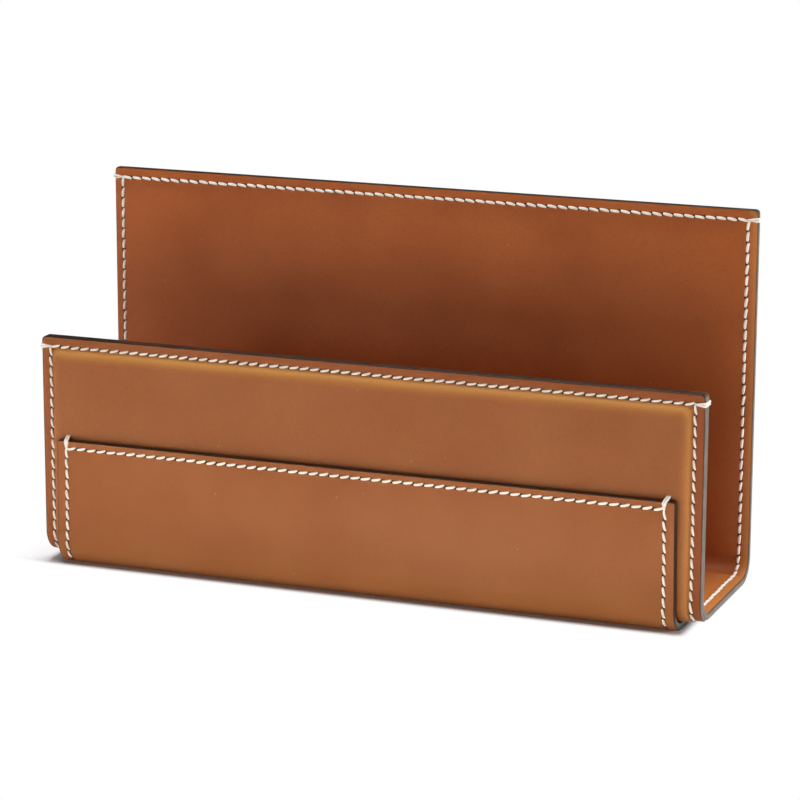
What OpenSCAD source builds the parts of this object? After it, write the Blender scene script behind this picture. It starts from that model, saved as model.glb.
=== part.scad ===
// Desk letter holder in stitched saddle leather.
// A U-shaped channel, open at both ends, holds the letters. A moulded panel covers its front wall,
// and a low pocket sheet lies on that panel and turns under the base, so the holder stands on it.
// Millimetres, +Z up, +Y to the back, origin on the table under the middle of the holder.

/* [Channel] */
// Width of the channel from end to end
channel_w = 254; // [200:1:320]
// Clear depth of the letter slot between the two walls
slot_d = 57.2; // [40:0.2:90]
// Height of the back wall above the table
back_h = 139.5; // [115:0.5:180]
// Height of the front wall above the table
front_h = 85.9; // [68:0.1:110]
// Inside radius of the two bends at the base
bend_r = 6; // [4:0.5:9]
// Radius of the top corners of the walls
corner_r = 1.5; // [0.5:0.1:2.5]

/* [Layers of the channel] */
// Thickness of the lining leather
lining_t = 1.2; // [0.8:0.1:2]
// Thickness of the stiffening plate and of the strips round it
core_t = 0.8; // [0.5:0.1:1.5]
// Thickness of the cover leather
cover_t = 1.2; // [0.8:0.1:2]
// Width of the strips that carry the seams along the edges
strip_w = 7; // [5.5:0.5:12]
// Gap between the plate and the strips
core_gap = 0.2; // [0.1:0.05:0.5]

/* [Front panel] */
// Thickness of the moulded leather
panel_t = 2.1; // [1.6:0.1:3]
// Height of the raised field above its flange
field_rise = 2.7; // [1.5:0.1:4]
// Width of the flange outside the raised field
flange_w = 4.9; // [4.5:0.1:9]
// Radius of the shoulders of the raised field
shoulder_r = 2.4; // [1.5:0.1:2.6]
// Radius of the front arrises of the filler board
filler_r = 0.8; // [0.3:0.1:1.4]
// Gap round the edges of the filler board
filler_gap = 0.1; // [0.05:0.05:0.4]
// How far the panel reaches under the front bend
tuck = 4.4; // [3:0.1:5.5]

/* [Pocket] */
// Height of the pocket's top edge above the table
pocket_h = 48.4; // [36:0.1:60]
// Distance of the pocket's top corners from the ends of the channel
pocket_top_margin = 8.3; // [6:0.1:30]
// Distance of the pocket sheet from the ends of the channel, at the table
pocket_base_margin = 7.8; // [6:0.1:30]
// Radius of the pocket's top corners
pocket_corner_r = 0.9; // [0.4:0.1:2]
// Gap between the empty pocket and the raised field
pocket_gap = 0.4; // [0.3:0.1:2]
// Thickness of the pocket's lining leather
pocket_lining_t = 1.2; // [0.8:0.1:2]
// Thickness of the pocket's cover leather
pocket_cover_t = 1.4; // [0.8:0.1:2]
// Inside radius of the pocket's bend
pocket_bend_r = 7.4; // [5:0.2:9]
// Distance from the back face to the rear edge of the pocket sheet
heel = 12; // [10:0.5:25]

/* [Stitching] */
// Distance from one awl hole to the next
pitch = 4; // [3:0.1:6]
// Gap between neighbouring stitches
stitch_gap = 0.5; // [0.3:0.1:1]
// Thickness of the thread
thread_d = 0.9; // [0.6:0.05:1.2]
// Thickness of the thread where it goes into its hole
tip_d = 0.35; // [0.2:0.05:0.5]
// Length of the tapered end of a stitch
tip_run = 1.1; // [0.5:0.1:1.5]
// Distance of the channel seams from the edges
seam_inset = 3.6; // [3:0.1:4]
// Distance of the pocket's top seam from its edge
pocket_top_inset = 2.9; // [2.5:0.1:6]
// Distance of the pocket's side seams from its edges
pocket_side_inset = 3.9; // [3:0.1:6]
// Stitches in each quarter bend
bend_stitches = 3; // [3:1:5]
// Slant of the stitches along the top edges
top_slant = 13; // [0:1:25]
// Slant of the stitches down the sides, on the outer faces
side_slant = 9; // [0:1:25]
// Slant of the stitches down the sides, on the inner faces
inner_slant = -6; // [-25:1:25]
// Gap between the two threads of a corner wrap
wrap_gap = 0.1; // [0.05:0.05:0.3]
// Height of the pocket's wraps over its edge, where they enter the raised field
wrap_rise = 2.1; // [0.5:0.1:4]
// Bare length between a corner hole and the first stitch of a seam
corner_gap = 1.3; // [1.2:0.1:3]

/* [Hidden] */
$fn = 64;

tan_leather = [0.64, 0.41, 0.27];
lining_leather = [0.58, 0.34, 0.21];
leather_board = [0.55, 0.46, 0.36];
plate_steel = [0.62, 0.63, 0.65];
cream_thread = [0.97, 0.94, 0.86];

// Length by which a cutter passes the face that it cuts
cut = 1;

wall_t = lining_t + core_t + cover_t;
pocket_t = pocket_lining_t + pocket_cover_t;
pocket_top_w = channel_w - 2 * pocket_top_margin;
pocket_base_w = channel_w - 2 * pocket_base_margin;
depth = pocket_t + pocket_gap + field_rise + panel_t + 2 * wall_t + slot_d;

// Faces from front to back
front_y = -depth / 2;
pocket_y = front_y + pocket_t;
field_y = pocket_y + pocket_gap;
flange_y = field_y + field_rise;
cover_y = flange_y + panel_t;
slot_y = cover_y + wall_t;
mid_y = slot_y + slot_d / 2;
back_y = slot_y + slot_d;
rear_y = back_y + wall_t;
tuck_y = cover_y + tuck;
heel_y = rear_y - heel;

// Levels from the table up
base_z = pocket_t;
slot_z = base_z + wall_t;
bend_z = slot_z + bend_r;

// Outer bend radii
channel_r = bend_r + wall_t;
pocket_r = pocket_bend_r + pocket_t;

// Filler board, tucked under the moulded leather
filler_y = cover_y - field_rise;
filler_w = channel_w - 2 * (flange_w + panel_t);
filler_top = front_h - flange_w - panel_t;

// Seams
thread_r = thread_d / 2;
wrap_pitch = thread_d + wrap_gap;
seam_x = channel_w / 2 - seam_inset;
top_run = 2 * (seam_x - corner_gap);
front_run = front_h - seam_inset - corner_gap - bend_z;
back_run = back_h - seam_inset - corner_gap - bend_z;
base_run = slot_d - 2 * bend_r;
pocket_hole_x = pocket_top_w / 2 - pocket_side_inset;
pocket_hole_z = pocket_h - pocket_top_inset;
pocket_taper = atan((pocket_base_w - pocket_top_w) / 2 / pocket_h);
pocket_run = (pocket_hole_z - corner_gap - pocket_r) / cos(pocket_taper);

// Section drawn in [y, z], drawn out along X about x
module along_x(w, x = 0) {
    translate([x, 0, 0]) rotate([90, 0, 90]) linear_extrude(w, center = true) children();
}

// Space between the walls grown outwards by out, open at the top
module slot_section(out, over = 0) {
    r = bend_r + out;
    y0 = slot_y - out;
    z0 = slot_z - out;
    w = slot_d + 2 * out;
    translate([y0, z0 + r]) square([w, back_h + over - z0 - r]);
    translate([y0 + r, z0]) square([w - 2 * r, 2 * r]);
    for (y = [y0 + r, y0 + w - r])
        translate([y, z0 + r]) circle(r);
}

// Section of one layer of the channel, with both of its top edges lowered by drop
module channel_section(inner, outer, drop = 0) {
    difference() {
        slot_section(outer);
        slot_section(inner, cut);
        translate([slot_y - outer - cut, front_h - drop])
            square([outer + cut + slot_d / 2, back_h]);
        translate([mid_y, back_h - drop])
            square([slot_d / 2 + outer + cut, drop + cut]);
    }
}

// Section behind a sheet that hangs down the front and turns under the base
module turned_section(face_y, low_z, r, top, end_y) {
    intersection() {
        union() {
            translate([face_y, low_z + r]) square([depth, top - low_z - r]);
            translate([face_y + r, low_z]) square([depth, 2 * r]);
            translate([face_y + r, low_z + r]) circle(r);
        }
        translate([face_y, low_z]) square([end_y - face_y, top - low_z]);
    }
}

// Section of one layer of the pocket sheet
module pocket_section(inner, outer) {
    difference() {
        turned_section(pocket_y - outer, base_z - outer, pocket_bend_r + outer, pocket_h, heel_y);
        turned_section(pocket_y - inner, base_z - inner, pocket_bend_r + inner, pocket_h + cut, heel_y + cut);
    }
}

// Section of the moulded leather with its face at face_y
module panel_section(face_y) {
    difference() {
        turned_section(face_y, base_z, channel_r, front_h, tuck_y);
        slot_section(wall_t, cut);
    }
}

// What is cut off outside the rounded top corners of a sheet of width w between y0 and y1
module corner_waste(w, top, r, y0, y1) {
    for (side = [0, 1])
        mirror([side, 0, 0]) translate([w / 2 - r, y1, top - r])
            rotate([90, 0, 0]) linear_extrude(y1 - y0)
                difference() {
                    square(r + cut);
                    circle(r);
                }
}

module round_top_corners() {
    difference() {
        children();
        corner_waste(channel_w, front_h, corner_r, front_y, mid_y);
        corner_waste(channel_w, back_h, corner_r, mid_y, rear_y + cut);
    }
}

// Block that runs back from face_y, rounded along the front of its sides and top
module pillow(w, face_y, top, r) {
    reach = tuck_y - face_y;
    intersection() {
        linear_extrude(top) {
            translate([-w / 2 + r, face_y]) square([w - 2 * r, reach]);
            translate([-w / 2, face_y + r]) square([w, reach - r]);
            for (x = [-w / 2 + r, w / 2 - r])
                translate([x, face_y + r]) circle(r);
        }
        along_x(w) {
            translate([face_y, 0]) square([reach, top - r]);
            translate([face_y + r, 0]) square([reach - r, top]);
            translate([face_y + r, top - r]) circle(r);
        }
    }
}

// Filler board, or with grow the hollow that it lies in
module filler_block(grow = 0) {
    intersection() {
        pillow(filler_w + 2 * grow, filler_y, filler_top + grow, filler_r + grow);
        translate([-channel_w / 2, filler_y, bend_z - grow])
            cube([channel_w, field_rise, front_h]);
    }
}

// Outline of the pocket from the front, wider at the table than at its rounded top corners
module trim_pocket() {
    difference() {
        intersection() {
            children();
            translate([0, rear_y, 0]) rotate([90, 0, 0]) linear_extrude(depth)
                polygon([
                    [-pocket_base_w / 2, 0], [pocket_base_w / 2, 0],
                    [pocket_top_w / 2, pocket_h], [-pocket_top_w / 2, pocket_h]
                ]);
        }
        corner_waste(pocket_top_w, pocket_h, pocket_corner_r, front_y - cut, pocket_y + cut);
    }
}

// One stitch: half of a grain of thread with tapered ends, lying on z = 0 along x
module stitch(run) {
    half = run / 2;
    belly = half - min(tip_run, run / 3);
    rotate([90, 0, 90]) rotate_extrude(angle = 180)
        polygon([
            [0, -half], [tip_d / 2, -half], [thread_r, -belly],
            [thread_r, belly], [tip_d / 2, half], [0, half]
        ]);
}

// Stitches on z = 0 along x, from x = 0 to x = length
module stitch_row(length, slant) {
    count = max(1, round(length / pitch));
    step = length / count;
    for (i = [0 : count - 1])
        translate([(i + 0.5) * step, 0, 0]) rotate([0, 0, slant]) stitch(step - stitch_gap);
}

// Row along X on a face that looks to the front
module front_row(y, z, length, slant) {
    translate([-length / 2, y, z]) rotate([90, 0, 0]) stitch_row(length, slant);
}

// Row along X on a face that looks to the back
module rear_row(y, z, length, slant) {
    translate([length / 2, y, z]) rotate([90, 0, 180]) stitch_row(length, slant);
}

// Row from start = [y, z] in the direction heading of the YZ plane, on its left side or its right side
module path_row(start, heading, length, left, slant) {
    translate([0, start[0], start[1]]) rotate([heading, 0, 0]) rotate([left ? 0 : 180, 0, 90])
        stitch_row(length, slant);
}

// Stitches round a quarter bend about centre = [y, z], without the last few that skip names
module path_bend(centre, r, heading, left, slant, skip = 0) {
    run = r * PI / 2 / bend_stitches - stitch_gap;
    seat_r = left ? r - run * run / (8 * r) : r;
    for (i = [0 : bend_stitches - 1 - skip]) {
        turn = heading + (i + 0.5) * 90 / bend_stitches;
        translate([0, centre[0] + seat_r * sin(turn), centre[1] - seat_r * cos(turn)])
            rotate([turn, 0, 0]) rotate([left ? 0 : 180, 0, 90]) rotate([0, 0, slant]) stitch(run);
    }
}

// Seam of one open end: down the front wall, along the base and up the back wall, on both faces
module end_seam(x) {
    front_top = front_h - seam_inset - corner_gap;
    translate([x, 0, 0]) {
        path_row([slot_y, front_top], -90, front_run, true, inner_slant);
        path_bend([slot_y + bend_r, bend_z], bend_r, -90, true, inner_slant);
        path_row([slot_y + bend_r, slot_z], 0, base_run, true, inner_slant);
        path_bend([back_y - bend_r, bend_z], bend_r, 0, true, inner_slant);
        path_row([back_y, bend_z], 90, back_run, true, inner_slant);

        path_row([flange_y, front_top], -90, front_run, false, side_slant);
        path_bend([flange_y + channel_r, bend_z], channel_r, -90, false, side_slant, skip = 1);
        path_row([slot_y + bend_r, base_z], 0, base_run, false, side_slant);
        path_bend([back_y - bend_r, bend_z], channel_r, 0, false, side_slant);
        path_row([rear_y, bend_z], 90, back_run, false, side_slant);
    }
}

// Seam down one side of the pocket and round its bend: side is -1 at the left and 1 at the right
module pocket_side_seam(side) {
    drop = corner_gap * tan(pocket_taper);
    translate([side * (pocket_hole_x + drop), front_y, pocket_hole_z - corner_gap])
        rotate([90, 0, 0]) rotate([0, 0, side * pocket_taper - 90]) stitch_row(pocket_run, side_slant);
    translate([side * (pocket_base_w / 2 - pocket_side_inset), 0, 0])
        path_bend([front_y + pocket_r, pocket_r], pocket_r, -90, false, side_slant, skip = 1);
}

// Two threads round both ends of a wall between y0 and y1, from the corner holes at height z
module end_wraps(y0, y1, z) {
    tip = channel_w / 2 + thread_r;
    for (side = [0, 1], i = [-0.5, 0.5])
        mirror([side, 0, 0]) translate([0, 0, z + i * wrap_pitch - thread_r]) linear_extrude(thread_d)
            difference() {
                union() {
                    translate([seam_x, y0 - thread_r])
                        square([tip - thread_r - seam_x, y1 - y0 + thread_d]);
                    translate([seam_x, y0]) square([tip - seam_x, y1 - y0]);
                    for (y = [y0, y1])
                        translate([tip - thread_r, y]) circle(thread_r);
                }
                translate([seam_x - cut, y0]) square([tip - thread_r - seam_x + cut, y1 - y0]);
            }
}

module channel_lining() {
    color(lining_leather) round_top_corners() along_x(channel_w) channel_section(0, lining_t);
}

module channel_core() {
    color(plate_steel) along_x(channel_w - 2 * (strip_w + core_gap))
        channel_section(lining_t, lining_t + core_t, strip_w + core_gap);
}

module edge_strip(side) {
    color(leather_board) round_top_corners() along_x(strip_w, side * (channel_w - strip_w) / 2)
        channel_section(lining_t, lining_t + core_t);
}

module left_edge_strip() {
    edge_strip(-1);
}

module right_edge_strip() {
    edge_strip(1);
}

module back_top_strip() {
    color(leather_board) along_x(channel_w - 2 * strip_w)
        translate([back_y + lining_t, back_h - strip_w]) square([core_t, strip_w]);
}

module front_top_strip() {
    color(leather_board) along_x(channel_w - 2 * strip_w)
        translate([slot_y - lining_t - core_t, front_h - strip_w]) square([core_t, strip_w]);
}

module channel_cover() {
    color(tan_leather) round_top_corners() along_x(channel_w) channel_section(lining_t + core_t, wall_t);
}

module front_filler() {
    color(leather_board) filler_block();
}

module front_panel() {
    color(tan_leather) round_top_corners() difference() {
        union() {
            along_x(channel_w) panel_section(flange_y);
            intersection() {
                along_x(channel_w) panel_section(field_y);
                pillow(channel_w - 2 * flange_w, field_y, front_h - flange_w, shoulder_r);
            }
        }
        filler_block(filler_gap);
    }
}

module pocket_lining() {
    color(lining_leather) trim_pocket() along_x(pocket_base_w) pocket_section(0, pocket_lining_t);
}

module pocket_cover() {
    color(tan_leather) trim_pocket() along_x(pocket_base_w) pocket_section(pocket_lining_t, pocket_t);
}

module back_top_seam() {
    color(cream_thread) {
        front_row(back_y, back_h - seam_inset, top_run, -top_slant);
        rear_row(rear_y, back_h - seam_inset, top_run, top_slant);
    }
}

module front_top_seam() {
    color(cream_thread) {
        front_row(flange_y, front_h - seam_inset, top_run, top_slant);
        rear_row(slot_y, front_h - seam_inset, top_run, -top_slant);
    }
}

module left_end_seam() {
    color(cream_thread) end_seam(-seam_x);
}

module right_end_seam() {
    color(cream_thread) end_seam(seam_x);
}

module pocket_top_seam() {
    color(cream_thread) front_row(front_y, pocket_hole_z, 2 * (pocket_hole_x - corner_gap), top_slant);
}

module pocket_left_seam() {
    color(cream_thread) pocket_side_seam(-1);
}

module pocket_right_seam() {
    color(cream_thread) pocket_side_seam(1);
}

module back_corner_wraps() {
    color(cream_thread) end_wraps(back_y, rear_y, back_h - seam_inset);
}

module front_corner_wraps() {
    color(cream_thread) end_wraps(flange_y, slot_y, front_h - seam_inset);
}

// Two threads at each top corner of the pocket, over its edge and up to the raised field behind
module pocket_corner_wraps() {
    color(cream_thread)
        for (side = [-1, 1], i = [-0.5, 0.5])
            along_x(thread_d, side * pocket_hole_x + i * wrap_pitch) {
                translate([front_y - thread_r, pocket_hole_z]) square([thread_r, pocket_top_inset]);
                polygon([
                    [front_y, pocket_h], [field_y, pocket_h + wrap_rise - thread_r],
                    [field_y, pocket_h + wrap_rise], [front_y, pocket_h + thread_r]
                ]);
                intersection() {
                    translate([front_y, pocket_h]) circle(thread_r);
                    translate([front_y - thread_r, pocket_h]) square(thread_r);
                }
            }
}

channel_lining();
channel_core();
left_edge_strip();
right_edge_strip();
back_top_strip();
front_top_strip();
channel_cover();
front_filler();
front_panel();
pocket_lining();
pocket_cover();
back_top_seam();
front_top_seam();
left_end_seam();
right_end_seam();
pocket_top_seam();
pocket_left_seam();
pocket_right_seam();
back_corner_wraps();
front_corner_wraps();
pocket_corner_wraps();
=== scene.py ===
import math
import random

import bmesh
import bpy
from mathutils import Matrix, Quaternion, Vector


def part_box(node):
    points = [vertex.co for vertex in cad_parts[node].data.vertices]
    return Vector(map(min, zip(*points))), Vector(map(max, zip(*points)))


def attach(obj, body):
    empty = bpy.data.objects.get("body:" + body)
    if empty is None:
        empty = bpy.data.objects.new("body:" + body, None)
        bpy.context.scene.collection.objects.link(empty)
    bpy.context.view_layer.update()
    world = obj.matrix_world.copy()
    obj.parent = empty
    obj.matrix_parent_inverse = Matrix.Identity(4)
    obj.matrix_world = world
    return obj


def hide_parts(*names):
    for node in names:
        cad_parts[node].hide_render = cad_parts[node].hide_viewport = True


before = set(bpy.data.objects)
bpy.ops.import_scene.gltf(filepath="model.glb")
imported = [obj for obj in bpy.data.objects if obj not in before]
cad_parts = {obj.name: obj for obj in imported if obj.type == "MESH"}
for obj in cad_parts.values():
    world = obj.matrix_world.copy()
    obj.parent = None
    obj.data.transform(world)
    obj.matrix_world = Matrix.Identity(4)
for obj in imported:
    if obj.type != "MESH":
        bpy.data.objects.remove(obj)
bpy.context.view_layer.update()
mm = 0.001
tiny = 0.01 * mm
print("frame loaded with", len(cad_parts), "nodes")

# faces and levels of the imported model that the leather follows
liningLow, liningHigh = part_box("channel_lining")
coverLow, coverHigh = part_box("channel_cover")
panelLow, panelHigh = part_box("front_panel")
pocketLow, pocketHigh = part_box("pocket_cover")

channel = {
    "leather": 1.2 * mm,       # thickness of the lining and of the cover
    "bendRadius": 6 * mm,      # inside the slot
    "cornerRadius": 1.5 * mm,  # top corners of the walls
    "cornerSteps": 5,
    "edgeRound": 0.3 * mm,     # burnished arris
    "seamInset": 3.6 * mm,     # seam line from the edges
    "skive": 0.8 * mm,         # how much thinner the lining is pared at the open ends
    # the base near the open ends and the pared right end of the lining are painted lighter: painted light
    "endLightFade": 14 * mm,           # how far inside the end seams the base is back to its own tone
    "endLightFull": 1 * mm,       # how far inside them it is fully lighter
    "endLightBase": 0.23,          # how much lighter, as a share of the golden tint: painted light falling in at the open ends
    "endLightPared": 0.32,           # the same, as a painted highlight from the right, where the right end is pared
}
# the dark share of the groove is painted shade in the crease, with the wax of the thread
groove = {"halfWidth": 0.75 * mm, "depth": 0.42 * mm, "dark": 0.45}  # crease that the thread is pulled into
bendSteps = 10
edgeSteps = 3
shareDigits = 3                    # to which shares of the paring are told apart
flatWall = 0.999                   # faces this square to Y belong to a flat wall
endFacing = 0.6                    # faces turned this far to the ends are end rims
leatherSmooth = math.radians(40)
threadSmooth = math.radians(60)

halfWidth = liningHigh.x
slotFront = liningLow.y + channel["leather"]
slotBack = liningHigh.y - channel["leather"]
slotFloor = liningLow.z + channel["leather"]
backTop = liningHigh.z
frontTop = panelHigh.z
bendTop = slotFloor + channel["bendRadius"]
outerRadius = bendTop - coverLow.z
slotMiddle = (slotFront + slotBack) / 2
seamX = halfWidth - channel["seamInset"]
skiveStart = seamX + groove["halfWidth"]
backSeam = backTop - channel["seamInset"]
frontSeam = frontTop - channel["seamInset"]


# materials

def toLinear(hexColour):
    parts = [int(hexColour[i:i + 2], 16) / 255 for i in (1, 3, 5)]
    return [p / 12.92 if p <= 0.04045 else ((p + 0.055) / 1.055) ** 2.4 for p in parts] + [1.0]


def addNode(tree, kind, inputs=None, **settings):
    node = tree.nodes.new(kind)
    for name, value in settings.items():
        setattr(node, name, value)
    for socket, value in (inputs or {}).items():
        if isinstance(value, bpy.types.NodeSocket):
            tree.links.new(value, node.inputs[socket])
        else:
            node.inputs[socket].default_value = value
    return node


def newMaterial(name):
    material = bpy.data.materials.new(name)
    material.use_nodes = True
    tree = material.node_tree
    return material, tree, tree.nodes["Principled BSDF"]


def perSize(size):  # texture scale that gives features of this size
    return 1 / size


def addRamp(tree, share, low, high):  # each end as its position and colour
    ramp = addNode(tree, "ShaderNodeValToRGB", {"Fac": share})
    for stop, (position, colour) in zip(ramp.color_ramp.elements, (low, high)):
        stop.position = position
        stop.color = toLinear(colour)
    return ramp.outputs["Color"]


def saddleLeather(name, light, dark, deep):
    # bridle-finished vegetable tanned cowhide: even tan with soft cloudy patches, fine pores, a few pale
    # scuffs and a waxy satin sheen; golden where it was stretched in moulding and as a painted highlight,
    # redder where it is pressed and as painted shade, dark in the creases as painted shade and wax
    material, tree, skin = newMaterial(name)
    place = addNode(tree, "ShaderNodeTexCoord").outputs["Object"]
    clouds = addNode(tree, "ShaderNodeTexNoise",
                     {"Vector": place, "Scale": perSize(38 * mm), "Detail": 4, "Roughness": 0.55})
    colour = addRamp(tree, clouds.outputs["Fac"], (0.3, dark), (0.68, light))
    pores = addNode(tree, "ShaderNodeTexNoise",
                    {"Vector": place, "Scale": perSize(0.7 * mm), "Detail": 3, "Roughness": 0.6})
    poreShade = addNode(tree, "ShaderNodeMapRange",
                        {"Value": pores.outputs["Fac"], "From Min": 0.52, "From Max": 0.74, "To Max": 0.3})
    scuffs = addNode(tree, "ShaderNodeTexVoronoi", {"Vector": place, "Scale": perSize(9 * mm)})
    scuffShade = addNode(tree, "ShaderNodeMapRange", {"Value": scuffs.outputs["Distance"], "From Min": 0.02,
                                                      "From Max": 0.04, "To Min": 0.35, "To Max": 0.0})
    layers = [(poreShade.outputs["Result"], deep), (scuffShade.outputs["Result"], "#d9a878")]
    # golden tint: stretched hide and painted highlight; redder tint: pressed leather and painted shade; near
    # black tint: painted shade and wax in the seam creases
    for attribute, tint in (("stretchAndHighlight", "#e3a355"), ("pressedAndShaded", "#8f4b22"), ("creaseShadeAndWax", "#2a1207")):
        layers.append((addNode(tree, "ShaderNodeAttribute", attribute_name=attribute).outputs["Fac"], tint))
    for share, tint in layers:
        mixed = addNode(tree, "ShaderNodeMix", {0: share, 6: colour, 7: toLinear(tint)}, data_type="RGBA")
        colour = mixed.outputs[2]
    waxy = addNode(tree, "ShaderNodeMapRange", {"Value": clouds.outputs["Fac"], "From Min": 0.3,
                                                "From Max": 0.7, "To Min": 0.56, "To Max": 0.46})
    grain = addNode(tree, "ShaderNodeTexVoronoi",
                    {"Vector": place, "Scale": perSize(0.55 * mm)}, feature="SMOOTH_F1")
    relief = addNode(tree, "ShaderNodeMath",
                     {0: pores.outputs["Fac"], 1: grain.outputs["Distance"]}, operation="ADD")
    bump = addNode(tree, "ShaderNodeBump",
                   {"Height": relief.outputs[0], "Strength": 0.12, "Distance": 0.05 * mm})
    tree.links.new(colour, skin.inputs["Base Color"])
    tree.links.new(waxy.outputs["Result"], skin.inputs["Roughness"])
    tree.links.new(bump.outputs["Normal"], skin.inputs["Normal"])
    skin.inputs["IOR"].default_value = 1.48
    skin.inputs["Specular IOR Level"].default_value = 0.16
    return material


def edgePaint(name, dark, light, ior):
    # layered edge dressing, sanded and burnished: almost black brown along the tops; at the open ends a
    # lighter, greyer and glossier copy, whose lighter colour is a painted reflection of the white table
    material, tree, paint = newMaterial(name)
    place = addNode(tree, "ShaderNodeTexCoord").outputs["Object"]
    coats = addNode(tree, "ShaderNodeTexNoise",
                    {"Vector": place, "Scale": perSize(4 * mm), "Detail": 3})
    colour = addRamp(tree, coats.outputs["Fac"], (0.35, dark), (0.7, light))
    bump = addNode(tree, "ShaderNodeBump", {"Height": coats.outputs["Fac"], "Strength": 0.15,
                                            "Distance": 0.1 * mm})
    tree.links.new(colour, paint.inputs["Base Color"])
    tree.links.new(bump.outputs["Normal"], paint.inputs["Normal"])
    paint.inputs["Roughness"].default_value = 0.34
    paint.inputs["IOR"].default_value = ior
    paint.inputs["Specular Tint"].default_value = toLinear("#aca092")
    return material


def waxedThread():
    # waxed linen cord: cream, with a soft waxy sheen and its plies just visible
    material, tree, cord = newMaterial("waxedLinenThread")
    place = addNode(tree, "ShaderNodeTexCoord").outputs["Object"]
    plies = addNode(tree, "ShaderNodeTexNoise", {"Vector": place, "Scale": perSize(0.6 * mm), "Detail": 2})
    colour = addRamp(tree, plies.outputs["Fac"], (0.3, "#fff3de"), (0.62, "#fff9ed"))
    bump = addNode(tree, "ShaderNodeBump", {"Height": plies.outputs["Fac"], "Strength": 0.3,
                                            "Distance": 0.1 * mm})
    tree.links.new(colour, cord.inputs["Base Color"])
    tree.links.new(bump.outputs["Normal"], cord.inputs["Normal"])
    cord.inputs["Roughness"].default_value = 0.5
    cord.inputs["Specular IOR Level"].default_value = 0.9
    cord.inputs["Sheen Weight"].default_value = 1.0
    return material


def awlHole():
    # a dark plug in each pricked hole: its almost black brown is the painted shade of the hole, dull
    material, tree, pit = newMaterial("prickedAwlHole")
    place = addNode(tree, "ShaderNodeTexCoord").outputs["Object"]
    fibre = addNode(tree, "ShaderNodeTexNoise", {"Vector": place, "Scale": perSize(0.5 * mm)})
    colour = addRamp(tree, fibre.outputs["Fac"], (0, "#120703"), (1, "#241007"))
    tree.links.new(colour, pit.inputs["Base Color"])
    pit.inputs["Roughness"].default_value = 0.9
    pit.inputs["Specular IOR Level"].default_value = 0.1
    return material


def leatherBoard():
    # pressed leather fibre board: flat fawn with coarse fibres, no gloss
    material, tree, board = newMaterial("pressedLeatherBoard")
    place = addNode(tree, "ShaderNodeTexCoord").outputs["Object"]
    fibres = addNode(tree, "ShaderNodeTexNoise", {"Vector": place, "Scale": perSize(2 * mm), "Detail": 6})
    colour = addRamp(tree, fibres.outputs["Fac"], (0, "#6f5b45"), (1, "#a58e6f"))
    tree.links.new(colour, board.inputs["Base Color"])
    board.inputs["Roughness"].default_value = 0.85
    return material


def rolledSteel():
    # cold rolled steel sheet: grey, with fine streaks along the rolling direction
    material, tree, steel = newMaterial("coldRolledSteel")
    place = addNode(tree, "ShaderNodeTexCoord").outputs["Object"]
    drawn = addNode(tree, "ShaderNodeMapping", {"Vector": place, "Scale": (0.05, 1, 1)})
    streaks = addNode(tree, "ShaderNodeTexNoise",
                      {"Vector": drawn.outputs["Vector"], "Scale": perSize(0.8 * mm), "Detail": 3})
    gloss = addNode(tree, "ShaderNodeMapRange",
                    {"Value": streaks.outputs["Fac"], "To Min": 0.3, "To Max": 0.5})
    tree.links.new(gloss.outputs["Result"], steel.inputs["Roughness"])
    steel.inputs["Base Color"].default_value = toLinear("#a3a5a8")
    steel.inputs["Metallic"].default_value = 1
    return material


tanLeather = saddleLeather("tanBridleLeather", "#9b5c30", "#925329", "#6e3819")
# the lining is the same hide as the cover; its brighter, redder tone is painted light for the inside of the
# slot
liningLeather = saddleLeather("tanLiningLeather", "#aa5c2d", "#9d5227", "#763316")
paintedEdge = edgePaint("burnishedEdgePaint", "#1e130d", "#2e2018", 1.55)
# the open ends: the same paint made lighter and greyer as a painted reflection, with more gloss
reflectingEndPaint = edgePaint("endPaintWithReflection", "#51443a", "#6a5c50", 2.0)
creamThread = waxedThread()
darkHole = awlHole()
fawnBoard = leatherBoard()
plateSteel = rolledSteel()
print("materials made:", len(bpy.data.materials))


# tools for shaping in edit mode

def pick(kind, test):
    mesh = bmesh.from_edit_mesh(bpy.context.object.data)
    bpy.ops.mesh.select_mode(type={"verts": "VERT", "edges": "EDGE", "faces": "FACE"}[kind])
    bpy.ops.mesh.select_all(action="DESELECT")
    for part in getattr(mesh, kind):
        part.select_set(test(part))
    mesh.select_flush_mode()
    bmesh.update_edit_mesh(bpy.context.object.data)


def middle(part):
    return sum((v.co for v in part.verts), Vector()) / len(part.verts)


def editNew(name):  # names the primitive just added and opens it
    piece = bpy.context.object
    piece.name = piece.data.name = name
    bpy.ops.object.mode_set(mode="EDIT")
    return piece


def startEdge(name, half, y, z):  # a plane cut down to one long edge, which the sheet is drawn from
    bpy.ops.object.select_all(action="DESELECT")
    bpy.ops.mesh.primitive_plane_add(size=2 * half)
    sheet = editNew(name)
    pick("verts", lambda v: v.co.y > 0)
    bpy.ops.mesh.delete(type="VERT")
    bpy.ops.mesh.select_all(action="SELECT")
    bpy.ops.transform.translate(value=(0, half + y, z))
    return sheet


def draw(at, moves, axis="X", steps=bendSteps):  # carries the selected edges along runs and bends
    at = Vector(at)
    for offset, turn in moves:
        if turn:
            centre = at + Vector(offset)
            spinAxis = Matrix.Identity(3)["XYZ".index(axis)]
            bpy.ops.mesh.spin(steps=steps, angle=-math.radians(turn), center=centre, axis=spinAxis)
            at = centre + Matrix.Rotation(math.radians(turn), 3, axis) @ (at - centre)
        else:
            bpy.ops.mesh.extrude_region_move(TRANSFORM_OT_translate={"value": offset})
            at += Vector(offset)


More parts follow.
